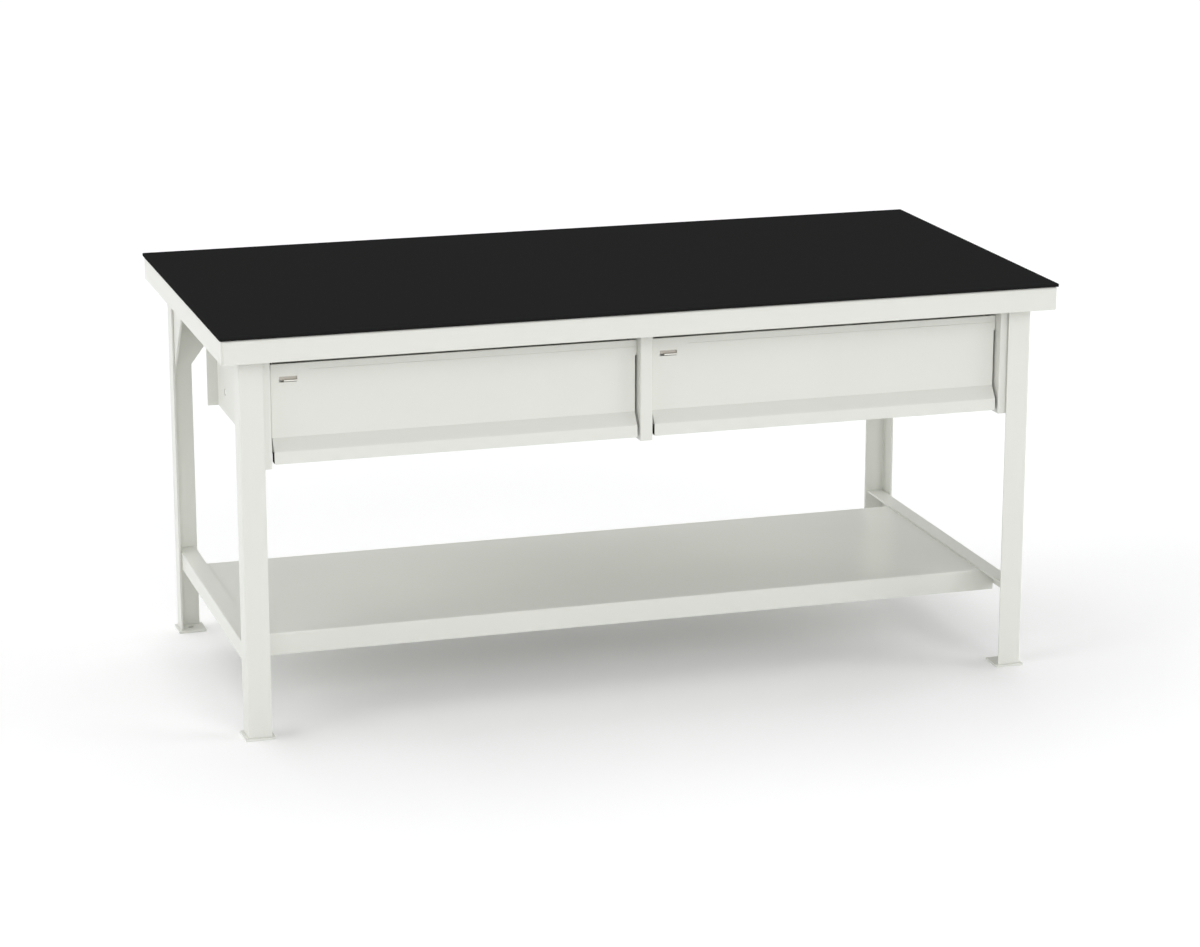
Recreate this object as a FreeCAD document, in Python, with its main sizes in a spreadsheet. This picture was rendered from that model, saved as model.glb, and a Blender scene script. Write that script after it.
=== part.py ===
import FreeCAD, Part
import os
import re
import Sketcher

# A steel work table with a black mat, a lower shelf and two drawers hung under its front.
# Millimetres. The origin is on the floor under the middle of the top: +X runs along the table to
# the right, +Y to its rear and +Z up. The drawers open towards -Y.

doc = FreeCAD.newDocument("WorkTable")
sheet = doc.addObject("Spreadsheet::Sheet", "Sizes")

SIZES = {
    # mat and formed steel top
    "mat_length": 1828.8,
    "mat_width": 914.4,
    "mat_thickness": 6.35,
    "mat_overhang": 3.0,
    "mat_corner": 3.0,
    "top_height": 863.6,
    "top_sheet": 4.76,
    "top_edge_depth": 50.8,
    "top_bend": 6.0,
    "top_seam": 3.2,
    "top_rib_width": 60.0,
    "top_rib_flange": 20.0,
    "top_rib_height": 38.0,
    "top_rib_sheet": 2.66,
    "top_rib_setback": 57.2,
    # angle legs and their anchor plates
    "leg_setback": 44.45,
    "leg_side": 50.8,
    "leg_wall": 4.76,
    "leg_bend": 4.0,
    "foot_side": 63.5,
    "foot_thickness": 4.76,
    "foot_rim": 6.35,
    "foot_hole": 14.3,
    # gussets that stiffen the rear legs under the top
    "gusset_plate": 4.76,
    "gusset_reach": 219.2,
    "gusset_height": 259.4,
    "gusset_toe": 25.4,
    # lower side rails and shelf
    "rail_side": 38.1,
    "rail_wall": 4.76,
    "rail_top": 190.5,
    "rail_inset": 6.35,
    "rail_cope": 51.1,
    "rail_bend": 3.0,
    "shelf_depth": 558.8,
    "shelf_sheet": 2.66,
    "shelf_lip": 47.6,
    "shelf_bend": 4.0,
    "shelf_rib_width": 70.0,
    "shelf_rib_flange": 20.0,
    "shelf_rib_height": 30.0,
    "shelf_rib_sheet": 1.9,
    "shelf_rib_setback": 40.0,
    # channels that carry the drawers, and their studs and nuts
    "hanger_strip": 16.55,
    "hanger_setback": 3.0,
    "hanger_width": 25.4,
    "hanger_depth": 578.0,
    "hanger_height": 281.0,
    "hanger_sheet": 1.9,
    "hanger_bend": 3.0,
    "hanger_hole": 12.0,
    "hanger_hole_reach": 493.0,
    "hanger_hole_drop": 232.8,
    "divider_width": 27.4,
    "divider_flange": 22.0,
    "stud_diameter": 6.0,
    "stud_length": 14.0,
    "nut_flats": 10.0,
    "nut_height": 5.0,
    # drawer fronts
    "front_gap": 4.45,
    "front_setback": 24.0,
    "front_sheet": 1.9,
    "front_return": 11.0,
    "front_flange": 25.0,
    "lip_setback": 3.6,
    "lip_raise": 7.9,
    "lip_height": 25.7,
    "lip_hem": 9.0,
    "lip_corner": 5.0,
    "slope_rise": 25.9,
    "panel_height": 139.9,
    "ear_rise": 14.2,
    "ear_width": 80.5,
    "liner_height": 32.4,
    "liner_lap": 8.0,
    "liner_play": 0.8,
    # drawer pans
    "pan_sheet": 1.5,
    "pan_depth": 508.0,
    "pan_raise": 14.2,
    "pan_height": 194.6,
    "pan_hem": 10.0,
    # ball slides and their rivets
    "slide_thickness": 12.7,
    "slide_length": 508.0,
    "slide_height": 38.0,
    "slide_sheet": 1.2,
    "slide_start": 2.0,
    "slide_drop": 18.6,
    "slide_travel": 381.0,
    "slide_flange": 9.5,
    "ball_diameter": 5.0,
    "ball_play": 0.15,
    "cage_sheet": 0.8,
    "cage_stand": 1.5,
    "cage_end_play": 3.0,
    "rivet_shank": 4.0,
    "rivet_head": 8.0,
    "rivet_head_height": 1.0,
    "hole_play": 0.1,
    # thumb-slide latches
    "slot_inset": 18.0,
    "slot_width": 38.1,
    "slot_height": 15.5,
    "slot_drop": 8.8,
    "latch_thickness": 3.0,
    "latch_height": 11.0,
    "latch_play": 0.3,
    "latch_tail": 12.0,
    "latch_travel": 10.0,
    "thumb_height": 13.0,
    "thumb_lip": 3.0,
    "thumb_stand": 1.0,
    "keeper_play": 1.0,
    "strap_sheet": 1.5,
    "strap_foot": 6.0,
    # one overrun for every cut
    "overrun": 1.0,
}

# places along the pieces, as shares of their length
RIB_SHARES = (0.3, 0.72)
STUD_SHARES = (0.08, 0.5, 0.92)
RIVET_SHARES = (0.08, 0.5, 0.92)
BALL_SHARES = (0.1, 0.3667, 0.6333, 0.9)

# Sizes worked out from the driving ones. Each may use those above it.
DERIVED = {
    "steel_length": "mat_length - 2 * mat_overhang",
    "steel_width": "mat_width - 2 * mat_overhang",
    "top_under": "top_height - top_sheet",
    "leg_out": "mat_length / 2 - leg_setback",
    "leg_far": "mat_width / 2 - leg_setback",
    "leg_in": "leg_out - leg_wall",
    "leg_near": "leg_far - leg_wall",
    "rail_out": "leg_out - rail_inset",
    "shelf_top": "rail_top - rail_wall",
    "shelf_half": "rail_out - rail_wall",
    "hanger_face": "leg_out - leg_side - hanger_strip",
    "hanger_front": "hanger_setback - leg_near",
    "hanger_bottom": "top_under - hanger_height",
    "bay_width": "hanger_face - divider_width / 2",
    "bay_middle": "divider_width / 2 + bay_width / 2",
    "front_half": "bay_width / 2 - front_gap",
    "panel_face": "hanger_front + front_setback",
    "panel_back": "panel_face + front_sheet",
    "lip_face": "hanger_front + lip_setback",
    "lip_bottom": "hanger_bottom + lip_raise",
    "lip_top": "lip_bottom + lip_height",
    "slope_top": "lip_top + slope_rise",
    "slope_run": "panel_face - lip_face",
    "slope_length": "sqrt(slope_run * slope_run + slope_rise * slope_rise)",
    "bend_drop": "front_sheet * (slope_length - slope_rise) / slope_run",
    "panel_top": "slope_top + panel_height",
    "ear_top": "panel_top + ear_rise",
    "pan_front": "panel_face + front_return",
    "pan_half": "bay_width / 2 - slide_thickness",
    "pan_bottom": "hanger_bottom + pan_raise",
    "pan_top": "pan_bottom + pan_height",
    "slide_front": "pan_front + slide_start",
    "slide_middle": "pan_top - slide_drop",
    "race_gap": "ball_diameter + 2 * ball_play",
    "cage_middle": "slide_height / 2 - slide_sheet - race_gap / 2",
    "member_half": "slide_height / 2 - slide_sheet - race_gap",
    "cage_base": "slide_sheet + cage_stand",
    "member_flange": "slide_thickness - cage_base - 2 * cage_sheet",
    "ball_place": "(cage_base + cage_sheet + slide_flange) / 2",
    "cage_length": "slide_length - slide_travel - 2 * cage_end_play",
    "cage_front": "slide_front + slide_travel / 2 + cage_end_play",
    "slot_left": "slot_inset - front_half",
    "slot_top": "panel_top - slot_drop",
    "latch_front": "panel_back + latch_play",
    "latch_back": "latch_front + latch_thickness",
    "latch_top": "slot_top - latch_play",
    "thumb_width": "slot_width - latch_travel - 2 * latch_play",
    "strap_front": "latch_back + latch_play",
}


def formula(text):
    """Spell a sum of size names as an expression on the sheet."""
    def spell(match):
        word = match.group(0)
        if word in SIZES:
            return "Sizes." + word
        if word in DERIVED:
            return "(" + formula(DERIVED[word]) + ")"
        return word
    return re.sub(r"[a-z]+(?:_[a-z]+)*", spell, str(text))


def value(text):
    """The present value of a sum of size names."""
    return float(sheet.evalExpression(formula(text)))


for row, (alias, size) in enumerate(SIZES.items(), start=1):
    sheet.set(f"A{row}", alias)
    sheet.set(f"B{row}", str(size))
    sheet.setAlias(f"B{row}", alias)
doc.recompute()


def bind(thing, **sums):
    for name, text in sums.items():
        thing.setExpression(name.replace("__", "."), formula(text))


def place(thing, x=0, y=0, z=0):
    bind(thing, Placement__Base__x=x, Placement__Base__y=y, Placement__Base__z=z)


def block(name, x, y, z):
    """A box between two bounds on each axis, given as pairs of sums."""
    box = doc.addObject("Part::Box", name)
    bind(box, Length=f"({x[1]}) - ({x[0]})", Width=f"({y[1]}) - ({y[0]})", Height=f"({z[1]}) - ({z[0]})")
    place(box, x[0], y[0], z[0])
    return box


TURNS = {
    "x": FreeCAD.Rotation(FreeCAD.Vector(0, 1, 0), 90),
    "y": FreeCAD.Rotation(FreeCAD.Vector(1, 0, 0), -90),
    "z": FreeCAD.Rotation(),
}


def rod(name, along, radius, length, x, y, z):
    """A round bar that starts at a point and runs along an axis."""
    bar = doc.addObject("Part::Cylinder", name)
    bar.Placement.Rotation = TURNS[along]
    bind(bar, Radius=radius, Height=length)
    place(bar, x, y, z)
    return bar


def join(name, pieces):
    joined = doc.addObject("Part::MultiFuse", name)
    joined.Shapes = pieces
    joined.Refine = True
    return joined


def group(name, pieces):
    grouped = doc.addObject("Part::Compound", name)
    grouped.Links = pieces
    return grouped


def carve(name, base, tools):
    cut = doc.addObject("Part::Cut", name)
    cut.Base = base
    cut.Tool = tools[0] if len(tools) == 1 else group(name + "_tools", tools)
    cut.Refine = True
    return cut


def edges_where(shape, test):
    """Numbers of the edges whose direction and middle pass a test."""
    found = []
    for number, edge in enumerate(shape.Edges, start=1):
        span = edge.BoundBox
        size = (span.XLength, span.YLength, span.ZLength)
        if test("xyz"[size.index(max(size))], span.Center, max(size)):
            found.append(number)
    return found


def round_off(name, base, radius, test):
    doc.recompute()
    rounded = doc.addObject("Part::Fillet", name)
    rounded.Base = base
    size = value(radius)
    rounded.Edges = [(number, size, size) for number in edges_where(base.Shape, test)]
    return rounded


def outline_body(name, plane, points, length, middle):
    """A pad of a straight-sided outline, as long on each side of its middle."""
    body = doc.addObject("PartDesign::Body", name)
    base = [part for part in body.Origin.OriginFeatures if part.Role == plane][0]
    sketch = body.newObject("Sketcher::SketchObject", name + "_outline")
    sketch.AttachmentSupport = [(base, "")]
    sketch.MapMode = "FlatFace"
    corners = [FreeCAD.Vector(value(across), value(up), 0) for across, up in points]
    count = len(corners)
    for number in range(count):
        sketch.addGeometry(Part.LineSegment(corners[number], corners[(number + 1) % count]), False)
    for number in range(count):
        sketch.addConstraint(Sketcher.Constraint("Coincident", number, 2, (number + 1) % count, 1))
    for number, (across, up) in enumerate(points):
        for kind, text in (("DistanceX", across), ("DistanceY", up)):
            held = sketch.addConstraint(Sketcher.Constraint(kind, -1, 1, number, 1, value(text)))
            sketch.setExpression(f"Constraints[{held}]", formula(text))
    pad = body.newObject("PartDesign::Pad", name + "_pad")
    pad.Profile = sketch
    pad.SideType = "Symmetric"
    bind(pad, Length=length)
    place(body, **middle)
    doc.recompute()
    return body


def soften(body, radius, test):
    """Round a body's bends, found by the direction and middle of their edges."""
    before = body.Tip
    fillet = body.newObject("PartDesign::Fillet", body.Name + "_bends")
    fillet.Base = (before, [f"Edge{number}" for number in edges_where(before.Shape, test)])
    bind(fillet, Radius=radius)
    doc.recompute()


def near(first, second):
    return abs(first - second) < value("hole_play")


NODES = {}


def node(name, thing):
    thing.Label = name
    NODES[name] = thing


SIDES = (("left", -1), ("right", 1))
ENDS = (("front", -1), ("rear", 1))


# Steel top: one sheet with its four edges turned down, rounded at the bend and seamed at the
# corners. The mat lies on it and stands a little past its edges.
def worktop():
    outer = block("top_outer", ("-0.5 * steel_length", "0.5 * steel_length"),
                  ("-0.5 * steel_width", "0.5 * steel_width"), ("top_height - top_edge_depth", "top_height"))
    upper = value("top_height")
    rounded = round_off("top_rounded", outer, "top_bend",
                        lambda along, middle, length: along != "z" and near(middle.z, upper))
    hollow = block("top_hollow", ("top_sheet - 0.5 * steel_length", "0.5 * steel_length - top_sheet"),
                   ("top_sheet - 0.5 * steel_width", "0.5 * steel_width - top_sheet"),
                   ("top_height - top_edge_depth - overrun", "top_under"))
    tools = [hollow]
    for side, across in SIDES:
        for end, along in ENDS:
            inner_x = f"{across} * (0.5 * steel_length - top_seam)"
            outer_x = f"{across} * (0.5 * steel_length + overrun)"
            inner_y = f"{along} * (0.5 * steel_width - top_seam)"
            outer_y = f"{along} * (0.5 * steel_width + overrun)"
            x = (inner_x, outer_x) if across > 0 else (outer_x, inner_x)
            y = (inner_y, outer_y) if along > 0 else (outer_y, inner_y)
            tools.append(block(f"top_seam_{end}_{side}", x, y,
                               ("top_height - top_edge_depth - overrun", "top_height - top_bend")))
    node("worktop", carve("top_formed", rounded, tools))


def worktop_mat():
    sheet_block = block("mat_sheet", ("-0.5 * mat_length", "0.5 * mat_length"),
                        ("-0.5 * mat_width", "0.5 * mat_width"), ("top_height", "top_height + mat_thickness"))
    node("worktop_mat", round_off("mat_cut", sheet_block, "mat_corner",
                                  lambda along, middle, length: along == "z"))


# Hat-section rib: its flanges lie against a sheet above it and its crown hangs below.
def hat_outline(width, flange, height, wall, seat):
    half = f"0.5 * {width}"
    low = f"{seat} - {height}"
    return [
        (f"-1 * ({half} + {flange})", seat), (f"{half} + {flange}", seat),
        (f"{half} + {flange}", f"{seat} - {wall}"), (half, f"{seat} - {wall}"),
        (half, low), (f"-1 * {half}", low),
        (f"-1 * {half}", f"{seat} - {wall}"), (f"-1 * ({half} + {flange})", f"{seat} - {wall}"),
    ]


def hat_hollow(name, width, height, wall, seat, length, along):
    across = (f"{wall} - 0.5 * {width}", f"0.5 * {width} - {wall}")
    run = (f"-0.5 * ({length}) - overrun", f"0.5 * ({length}) + overrun")
    up = (f"{seat} - {height} + {wall}", f"{seat} + overrun")
    return block(name, across, run, up) if along == "y" else block(name, run, across, up)


def top_ribs():
    length = "mat_width - 2 * top_rib_setback"
    outline = hat_outline("top_rib_width", "top_rib_flange", "top_rib_height", "top_rib_sheet", "top_under")
    number = 0
    for across in (-1, 1):
        for share in RIB_SHARES:
            number += 1
            name = f"top_rib_{number}"
            solid = outline_body(name + "_body", "XZ_Plane", outline, length, {})
            hollow = hat_hollow(name + "_hollow", "top_rib_width", "top_rib_height", "top_rib_sheet",
                                "top_under", length, "y")
            rib = carve(name + "_formed", solid, [hollow])
            place(rib, x=f"{across} * (divider_width / 2 + {share} * bay_width)")
            node(name, rib)


# Legs: angles, open to the inside, each on a square plate with one anchor hole.
def leg(name, across, along):
    corner_x = f"{across} * leg_out"
    corner_y = f"{along} * leg_far"
    tip_x = f"{across} * (leg_out - leg_side)"
    tip_y = f"{along} * (leg_far - leg_side)"
    inner_x = f"{across} * leg_in"
    inner_y = f"{along} * leg_near"
    points = [(corner_x, corner_y), (tip_x, corner_y), (tip_x, inner_y),
              (inner_x, inner_y), (inner_x, tip_y), (corner_x, tip_y)]
    body = outline_body(name, "XY_Plane", points, "top_under - foot_thickness",
                        {"z": "(top_under + foot_thickness) / 2"})
    outer_x = value(corner_x)
    outer_y = value(corner_y)
    soften(body, "leg_bend", lambda run, middle, length: run == "z" and near(middle.x, outer_x)
           and near(middle.y, outer_y))
    node(name, body)


def foot(name, across, along):
    far_x = f"{across} * (leg_out + foot_rim)"
    near_x = f"{across} * (leg_out + foot_rim - foot_side)"
    far_y = f"{along} * (leg_far + foot_rim)"
    near_y = f"{along} * (leg_far + foot_rim - foot_side)"
    plate = block(name + "_plate", (far_x, near_x) if across < 0 else (near_x, far_x),
                  (far_y, near_y) if along < 0 else (near_y, far_y), (0, "foot_thickness"))
    bore = rod(name + "_bore", "z", "foot_hole / 2", "foot_thickness + 2 * overrun",
               f"{across} * (leg_out + foot_rim - foot_side / 2)",
               f"{along} * (leg_far + foot_rim - foot_side / 2)", "-1 * overrun")
    node(name, carve(name + "_drilled", plate, [bore]))


# Gussets: triangular plates with a square toe on the inner faces of both flanges of each rear leg.
def gusset_outline(across, start):
    toe = f"{across} * ({start} - gusset_toe)"
    reach = f"{across} * ({start} - gusset_reach)"
    root = f"{across} * ({start})"
    low = "top_under - gusset_height"
    return [(root, low), (root, "top_under"), (reach, "top_under"), (toe, low)]


def rear_gussets(side, across):
    inside = "leg_in - gusset_plate"
    flank = outline_body(f"rear_side_gusset_{side}", "YZ_Plane", gusset_outline(1, "leg_near"),
                         "gusset_plate", {"x": f"{across} * (leg_in - gusset_plate / 2)"})
    node(f"rear_side_gusset_{side}", flank)
    back = outline_body(f"rear_back_gusset_{side}", "XZ_Plane", gusset_outline(across, inside),
                        "gusset_plate", {"y": "leg_near - gusset_plate / 2"})
    node(f"rear_back_gusset_{side}", back)


# Lower rails: angles with the upright flange outside, coped so that only the top flange runs in
# between the legs' flanges. The shelf lies under the top flanges.
def side_rail(side, across):
    outer = f"{across} * rail_out"
    inner = f"{across} * (rail_out - rail_side)"
    wall = f"{across} * (rail_out - rail_wall)"
    points = [(outer, "rail_top"), (inner, "rail_top"), (inner, "shelf_top"),
              (wall, "shelf_top"), (wall, "rail_top - rail_side"), (outer, "rail_top - rail_side")]
    body = outline_body(f"side_rail_{side}_bar", "XZ_Plane", points, "2 * leg_near", {})
    outer_x = value(outer)
    upper = value("rail_top")
    soften(body, "rail_bend", lambda run, middle, length: run == "y" and near(middle.x, outer_x)
           and near(middle.z, upper))
    x = (f"{across} * (rail_out + overrun)", f"{across} * (rail_out - rail_side - overrun)")
    copes = []
    for end, along in ENDS:
        y = (f"{along} * (leg_near + overrun)", f"{along} * (leg_near - rail_cope)")
        copes.append(block(f"side_rail_{side}_cope_{end}", x if across < 0 else x[::-1],
                           y if along < 0 else y[::-1], ("rail_top - rail_side - overrun", "shelf_top")))
    node(f"side_rail_{side}", carve(f"side_rail_{side}_coped", body, copes))


def lower_shelf():
    half = "0.5 * shelf_depth"
    low = "shelf_top - shelf_lip"
    under = "shelf_top - shelf_sheet"
    points = [
        (f"-1 * {half}", "shelf_top"), (half, "shelf_top"), (half, low), (f"{half} - shelf_sheet", low),
        (f"{half} - shelf_sheet", under), (f"shelf_sheet - {half}", under),
        (f"shelf_sheet - {half}", low), (f"-1 * {half}", low),
    ]
    body = outline_body("lower_shelf", "YZ_Plane", points, "2 * shelf_half", {})
    upper = value("shelf_top")
    soften(body, "shelf_bend", lambda run, middle, length: run == "x" and near(middle.z, upper))
    node("lower_shelf", body)


def shelf_rib():
    seat = "(shelf_top - shelf_sheet)"
    length = "2 * (shelf_half - shelf_rib_setback)"
    outline = hat_outline("shelf_rib_width", "shelf_rib_flange", "shelf_rib_height", "shelf_rib_sheet", seat)
    solid = outline_body("shelf_rib_body", "YZ_Plane", outline, length, {})
    hollow = hat_hollow("shelf_rib_hollow", "shelf_rib_width", "shelf_rib_height", "shelf_rib_sheet",
                        seat, length, "x")
    node("shelf_rib", carve("shelf_rib_formed", solid, [hollow]))


# Keeper: the slot that a thumb-slide bolt enters in the channel to its left.
def keeper(name, face):
    """The cut through the channel whose face is on the left of a drawer."""
    return block(name, (f"{face} - hanger_sheet - overrun", f"{face} + overrun"),
                 ("latch_front - keeper_play", "latch_back + keeper_play"),
                 ("latch_top - latch_height - keeper_play", "latch_top + keeper_play"))


def slide_rivet_places():
    return [f"slide_front + {share} * slide_length" for share in RIVET_SHARES]


def rivet_holes(name, face, across, depth):
    """Holes for a slide's rivets through a wall that starts at a face and runs along X."""
    start = f"{face} - overrun" if across > 0 else f"{face} - ({depth}) - overrun"
    return [rod(f"{name}_{number}", "x", "rivet_shank / 2 + hole_play", f"{depth} + 2 * overrun",
                start, where, "slide_middle")
            for number, where in enumerate(slide_rivet_places(), start=1)]


def stud_places():
    return [f"hanger_front + {share} * hanger_depth" for share in STUD_SHARES]


def stud_holes(name, middle):
    return [rod(f"{name}_{number}", "z", "stud_diameter / 2 + hole_play", "hanger_sheet + 2 * overrun",
                middle, where, "top_under - hanger_sheet - overrun")
            for number, where in enumerate(stud_places(), start=1)]


HANGER_MIDDLE = "hanger_face + hanger_sheet / 2 + hanger_width / 2"
FLANGE_MIDDLE = "divider_width / 2 + divider_flange / 2"


# Side hangers: formed sheets with the web towards the drawer and the front, rear and top edges turned
# outwards. The web is open below and has a punched hole near its rear.
def drawer_hanger(side, across):
    name = f"drawer_hanger_{side}"
    x = (f"{across} * hanger_face", f"{across} * (hanger_face + hanger_width)")
    solid = block(name + "_outer", x if across > 0 else x[::-1],
                  ("hanger_front", "hanger_front + hanger_depth"), ("hanger_bottom", "top_under"))
    face = value(x[0])
    front = value("hanger_front")
    rounded = round_off(name + "_rounded", solid, "hanger_bend",
                        lambda run, middle, length: run == "z" and near(middle.x, face)
                        and near(middle.y, front))
    hollow_x = (f"{across} * (hanger_face + hanger_sheet)",
                f"{across} * (hanger_face + hanger_width + overrun)")
    tools = [block(name + "_hollow", hollow_x if across > 0 else hollow_x[::-1],
                   ("hanger_front + hanger_sheet", "hanger_front + hanger_depth - hanger_sheet"),
                   ("hanger_bottom - overrun", "top_under - hanger_sheet"))]
    hole_start = f"{x[0]} - overrun" if across > 0 else f"{x[0]} - hanger_sheet - overrun"
    tools.append(rod(name + "_web_hole", "x", "hanger_hole / 2", "hanger_sheet + 2 * overrun", hole_start,
                     "hanger_front + hanger_hole_reach", "top_under - hanger_hole_drop"))
    tools += rivet_holes(name + "_rivet_hole", x[0], across, "hanger_sheet")
    tools += stud_holes(name + "_stud_hole", f"{across} * ({HANGER_MIDDLE})")
    if across < 0:
        tools.append(keeper(name + "_keeper", "-1 * hanger_face"))
    node(name, carve(name + "_formed", rounded, tools))


# Middle divider: a channel open to the rear, with a flange on each side under the top.
def drawer_divider():
    half = "divider_width / 2"
    solid = block("divider_outer", (f"-1 * {half}", half), ("hanger_front", "hanger_front + hanger_depth"),
                  ("hanger_bottom", "top_under"))
    front = value("hanger_front")
    rounded = round_off("divider_rounded", solid, "hanger_bend",
                        lambda run, middle, length: run == "z" and near(middle.y, front))
    flange = block("divider_flanges", (f"-1 * ({half} + divider_flange)", f"{half} + divider_flange"),
                   ("hanger_front + hanger_bend", "hanger_front + hanger_depth"),
                   ("top_under - hanger_sheet", "top_under"))
    whole = join("divider_whole", [rounded, flange])
    tools = [block("divider_hollow", (f"hanger_sheet - {half}", f"{half} - hanger_sheet"),
                   ("hanger_front + hanger_sheet", "hanger_front + hanger_depth + overrun"),
                   ("hanger_bottom - overrun", "top_under + overrun"))]
    for side, across in SIDES:
        tools += rivet_holes(f"divider_rivet_hole_{side}", f"{across} * {half}", -across, "hanger_sheet")
        tools += stud_holes(f"divider_stud_hole_{side}", f"{across} * ({FLANGE_MIDDLE})")
    tools.append(keeper("divider_keeper", half))
    node("drawer_divider", carve("divider_formed", whole, tools))


# Welded studs under the top, with the nuts that hold the hangers and the divider to them.
def studs_and_nuts():
    studs = []
    nuts = []
    middles = [f"{across} * ({middle})" for across in (-1, 1) for middle in (HANGER_MIDDLE, FLANGE_MIDDLE)]
    for middle in middles:
        for where in stud_places():
            number = len(studs) + 1
            studs.append(rod(f"stud_{number}", "z", "stud_diameter / 2", "stud_length",
                             middle, where, "top_under - stud_length"))
            blank = doc.addObject("Part::Prism", f"nut_blank_{number}")
            bind(blank, Circumradius="nut_flats / sqrt(3)", Height="nut_height")
            place(blank, middle, where, "top_under - hanger_sheet - nut_height")
            bore = rod(f"nut_bore_{number}", "z", "stud_diameter / 2 + hole_play",
                       "nut_height + 2 * overrun", middle, where,
                       "top_under - hanger_sheet - nut_height - overrun")
            nuts.append(carve(f"nut_{number}", blank, [bore]))
    node("hanger_studs", group("stud_set", studs))
    node("hanger_nuts", group("nut_set", nuts))


# Drawer front: one formed sheet. The flat panel slopes out at its foot into a full-width pull with
# an upright, hemmed lip. Its sides turn back and then inwards to flanges that lie on the pan's front.
# An ear at the left stands higher, over the latch's slot. Right of it a liner behind the panel rises
# as high and fills the gap beside the panel at the right.
def drawer_front(name, middle):
    points = [
        ("panel_face", "ear_top"), ("panel_face", "slope_top"), ("lip_face", "lip_top"),
        ("lip_face", "lip_bottom"), ("lip_face + front_sheet", "lip_bottom"),
        ("lip_face + front_sheet", "lip_top - bend_drop"), ("panel_back", "slope_top - bend_drop"),
        ("panel_back", "ear_top"),
    ]
    skin = outline_body(name + "_skin", "YZ_Plane", points, "2 * front_half", {"x": middle})
    pieces = [skin]
    for side, across in SIDES:
        x = (f"{middle} + {across} * front_half", f"{middle} + {across} * (front_half - front_sheet)")
        pieces.append(block(f"{name}_return_{side}", x if across < 0 else x[::-1],
                            ("panel_face", "pan_front"), ("slope_top", "panel_top")))
        x = (x[0], f"{middle} + {across} * (front_half - front_flange)")
        pieces.append(block(f"{name}_flange_{side}", x if across < 0 else x[::-1],
                            ("pan_front - front_sheet", "pan_front"), ("slope_top", "panel_top")))
    pieces.append(block(name + "_hem", (f"{middle} - front_half", f"{middle} + front_half"),
                        ("lip_face + front_sheet", "lip_face + 2 * front_sheet"),
                        ("lip_bottom", "lip_bottom + lip_hem")))
    left = f"{middle} - front_half"
    liner = (f"{left} + ear_width - liner_lap", f"{middle} + bay_width / 2 - liner_play")
    pieces.append(block(name + "_liner", liner, ("panel_back", "panel_back + front_sheet"),
                        ("ear_top - liner_height", "ear_top")))
    whole = join(name + "_whole", pieces)
    tools = [
        block(name + "_step", (f"{left} + ear_width", f"{middle} + front_half + overrun"),
              ("panel_face - overrun", "panel_back"), ("panel_top", "ear_top + overrun")),
        block(name + "_slot", (f"{middle} + slot_left", f"{middle} + slot_left + slot_width"),
              ("panel_face - overrun", "panel_back + overrun"), ("slot_top - slot_height", "slot_top")),
        block(name + "_bolt_way", (f"{left} - overrun", f"{left} + front_sheet + overrun"),
              ("panel_back", "latch_back + latch_play"),
              ("latch_top - latch_height - latch_play", "latch_top + latch_play")),
    ]
    cut = carve(name + "_cut", whole, tools)
    lowest = value("lip_bottom")
    node(name, round_off(name + "_rounded", cut, "lip_corner",
                         lambda run, middle_point, length: run == "y" and near(middle_point.z, lowest)))


# Drawer pan: an open tray of five spot-welded sheets. The two sides run the full depth and are
# riveted to the slides, the ends fit between them, and each wall has a flat hem inside its rim.
def drawer_pan(name, middle):
    low = ("pan_bottom", "pan_top")
    hem_up = ("pan_top - pan_hem", "pan_top")
    rear = "pan_front + pan_depth"
    inside = (f"{middle} - pan_half + pan_sheet", f"{middle} + pan_half - pan_sheet")
    sheets = [block(name + "_floor", inside, ("pan_front + pan_sheet", f"{rear} - pan_sheet"),
                    ("pan_bottom", "pan_bottom + pan_sheet"))]
    for side, across in SIDES:
        wall = f"{middle} + {across} * pan_half"
        x = (wall, f"{wall} - {across} * pan_sheet")
        hem_x = (x[1], f"{wall} - {across} * 2 * pan_sheet")
        sheet_wall = block(f"{name}_side_{side}", x if across < 0 else x[::-1], ("pan_front", rear), low)
        hem = block(f"{name}_side_hem_{side}", hem_x if across < 0 else hem_x[::-1],
                    ("pan_front + 2 * pan_sheet", f"{rear} - 2 * pan_sheet"), hem_up)
        hemmed = join(f"{name}_hemmed_side_{side}", [sheet_wall, hem])
        holes = rivet_holes(f"{name}_rivet_hole_{side}", wall, -across, "pan_sheet")
        sheets.append(carve(f"{name}_drilled_side_{side}", hemmed, holes))
    for end, along in ENDS:
        wall = "pan_front" if along < 0 else rear
        y = (wall, f"{wall} - {along} * pan_sheet")
        hem_y = (y[1], f"{wall} - {along} * 2 * pan_sheet")
        sheet_wall = block(f"{name}_end_{end}", inside, y if along < 0 else y[::-1], low)
        hem = block(f"{name}_end_hem_{end}", inside, hem_y if along < 0 else hem_y[::-1], hem_up)
        sheets.append(join(f"{name}_hemmed_end_{end}", [sheet_wall, hem]))
    node(name, group(name + "_tray", sheets))


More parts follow.
